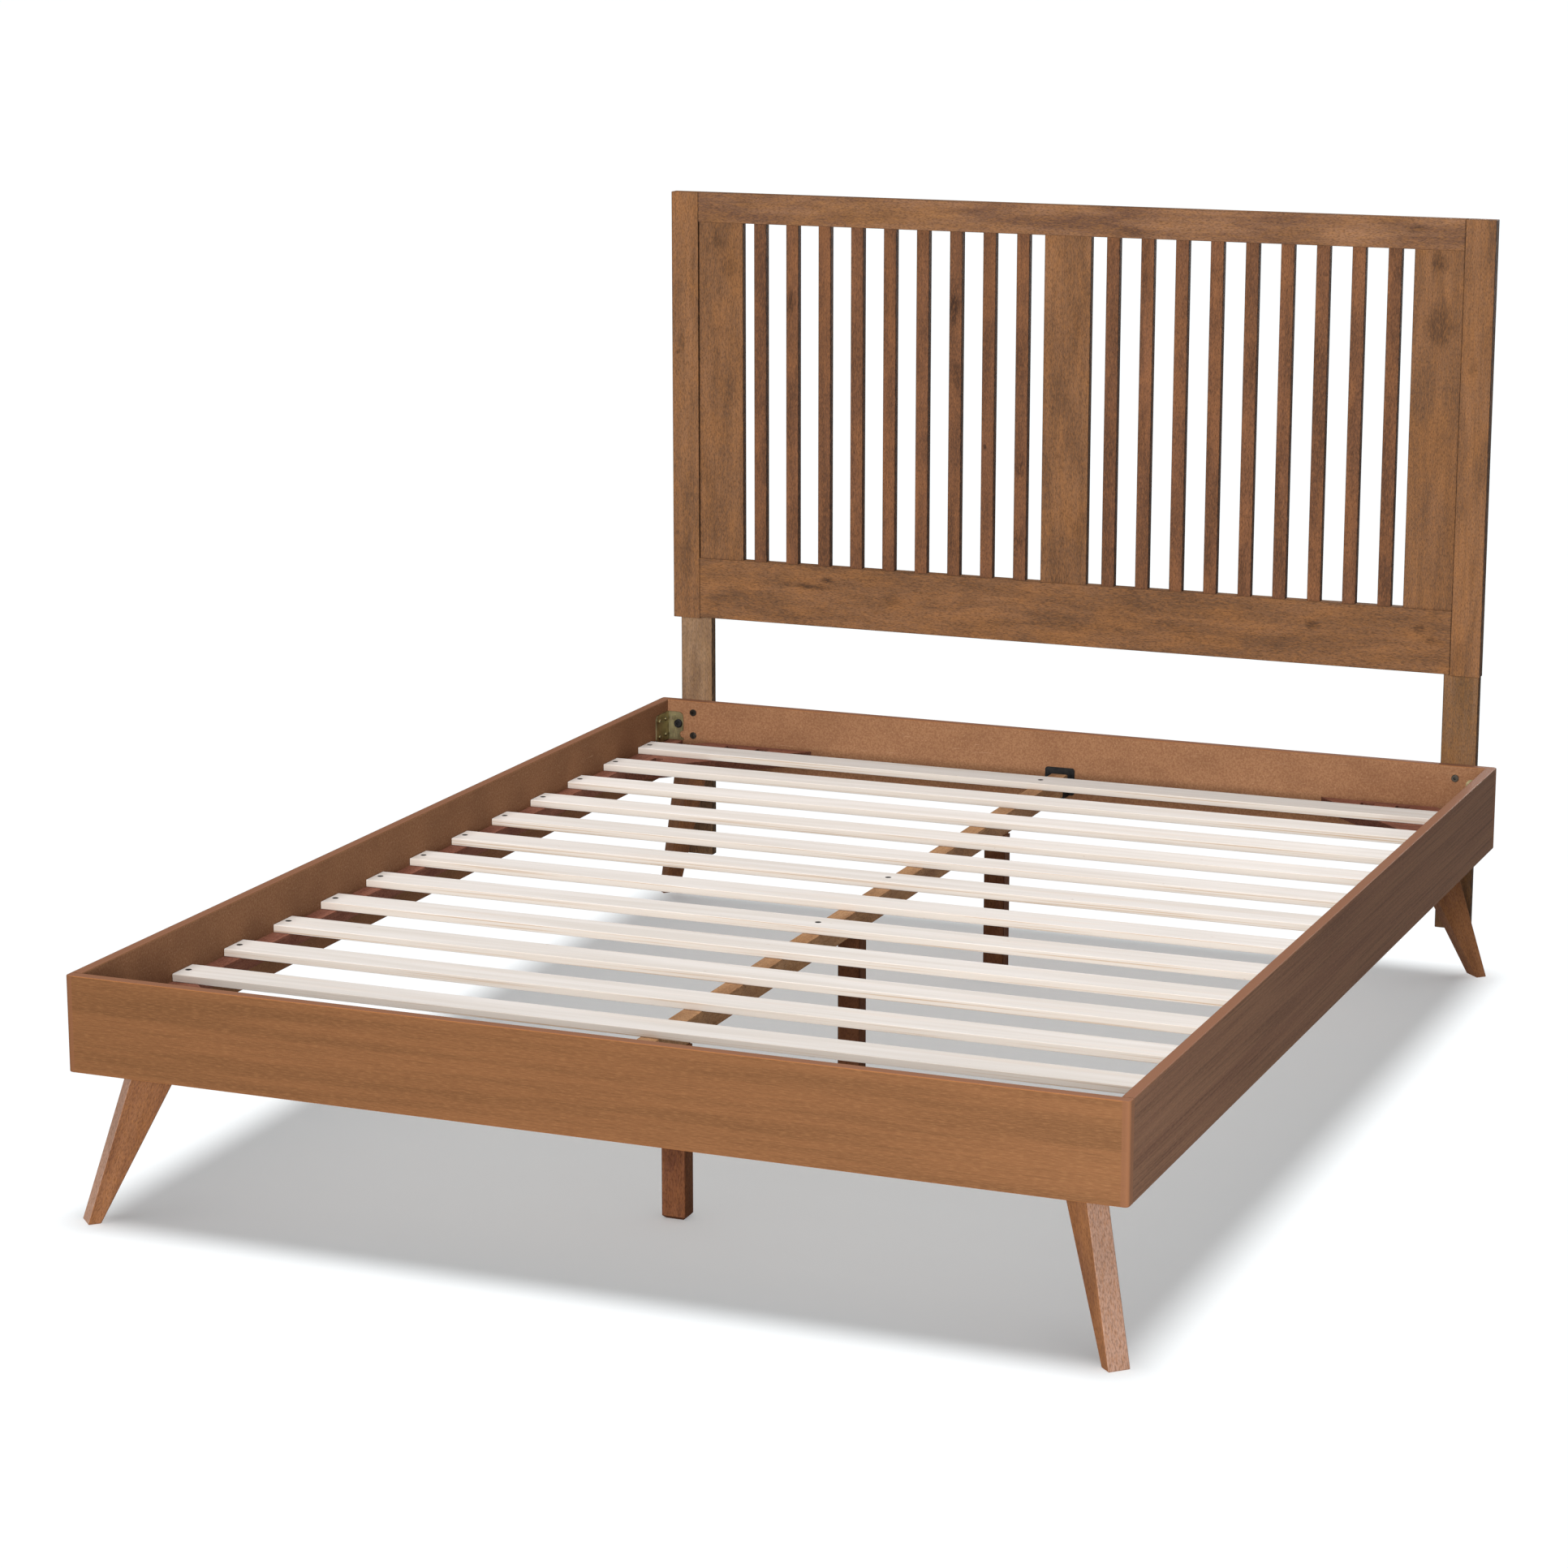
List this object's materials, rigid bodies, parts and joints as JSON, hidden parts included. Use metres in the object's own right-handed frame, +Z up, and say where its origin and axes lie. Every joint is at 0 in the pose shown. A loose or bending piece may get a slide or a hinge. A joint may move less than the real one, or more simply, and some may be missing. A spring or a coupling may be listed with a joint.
{
  "type": "bed frame",
  "caption": "Low wooden platform bed frame with splayed tapered corner legs, a deck of pale slats on a centre beam, and a tall upright-slatted headboard on rear posts.",
  "frame": {"origin": "on the floor, under the middle of the bed's box with its headboard posts", "axes": "+X across the bed to the right seen from the foot, +Y from the foot to the head, +Z up"},
  "size_m": [1.6, 2.134, 1.33],
  "materials": {
    "headboard_wood": "walnut-stained solid wood, satin lacquer",
    "post_wood": "stained solid wood, satin lacquer",
    "rail_veneer": "walnut veneer, satin lacquer",
    "leg_wood": "walnut-stained solid wood, satin lacquer",
    "support_wood": "stained softwood, dull",
    "slat_wood": "pale plywood, bare",
    "black_steel": "black oxide, satin",
    "zinc_steel": "yellow zinc plate",
    "insert_brass": "machined"
  },
  "bodies": {
    "root": {"bed_slat_01": "slat_wood", "bed_slat_02": "slat_wood", "bed_slat_03": "slat_wood", "bed_slat_04": "slat_wood", "bed_slat_05": "slat_wood", "bed_slat_06": "slat_wood", "bed_slat_07": "slat_wood", "bed_slat_08": "slat_wood", "bed_slat_09": "slat_wood", "bed_slat_10": "slat_wood", "bed_slat_11": "slat_wood", "bed_slat_12": "slat_wood", "bed_slat_13": "slat_wood", "brace_screws": "zinc_steel", "bracket_bolts": "black_steel", "bracket_screws": "zinc_steel", "centre_beam": "support_wood", "centre_leg_bolts": "zinc_steel", "foot_beam_hanger": "black_steel", "foot_rail": "rail_veneer", "front_centre_leg": "leg_wood", "front_left_corner_brace": "support_wood", "front_left_corner_bracket": "zinc_steel", "front_left_leg": "leg_wood", "front_right_corner_brace": "support_wood", "front_right_corner_bracket": "zinc_steel", "front_right_leg": "leg_wood", "hanger_screws": "zinc_steel", "head_beam_hanger": "black_steel", "head_rail": "rail_veneer", "headboard_bolts": "black_steel", "headboard_bottom_rail": "headboard_wood", "headboard_centre_board": "headboard_wood", "headboard_left_board": "headboard_wood", "headboard_left_slats": "headboard_wood", "headboard_left_stile": "headboard_wood", "headboard_right_board": "headboard_wood", "headboard_right_slats": "headboard_wood", "headboard_right_stile": "headboard_wood", "headboard_top_rail": "headboard_wood", "ledger_screws": "zinc_steel", "left_headboard_post": "post_wood", "left_ledger": "support_wood", "left_side_rail": "rail_veneer", "leg_bolts": "black_steel", "middle_centre_leg": "leg_wood", "post_bolts": "zinc_steel", "rear_centre_leg": "leg_wood", "rear_left_corner_brace": "support_wood", "rear_left_corner_bracket": "zinc_steel", "rear_left_leg": "leg_wood", "rear_right_corner_brace": "support_wood", "rear_right_corner_bracket": "zinc_steel", "rear_right_leg": "leg_wood", "right_headboard_post": "post_wood", "right_ledger": "support_wood", "right_side_rail": "rail_veneer", "slat_screws": "black_steel", "threaded_inserts": "insert_brass"}
  },
  "joints": []
}
